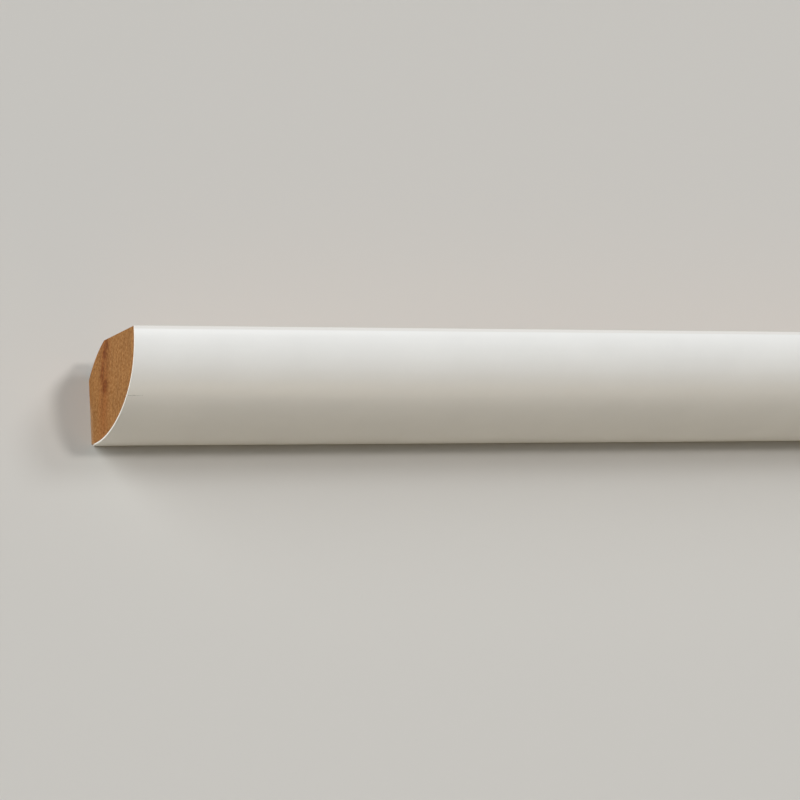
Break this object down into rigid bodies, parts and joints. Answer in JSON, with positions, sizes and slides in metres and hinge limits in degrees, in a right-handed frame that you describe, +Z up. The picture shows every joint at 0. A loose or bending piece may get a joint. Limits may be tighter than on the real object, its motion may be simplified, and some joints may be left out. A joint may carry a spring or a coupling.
{
  "type": "quarter round moulding",
  "caption": "Straight quarter-round floor moulding: timber core with a white film over the curved face, square-cut ends and a backed-off rear corner.",
  "frame": {"origin": "middle of the rectangle that the strip covers on the floor", "axes": "+X along the length, +Y to the wall that the strip backs onto, +Z up; the curved face looks to -Y and up"},
  "size_m": [2.388, 0.0126, 0.0191],
  "materials": {
    "timber": "planed, with square sawn ends",
    "white_film": "smooth satin white"
  },
  "bodies": {
    "root": {"wood_core": "timber", "white_film": "white_film"}
  },
  "joints": []
}
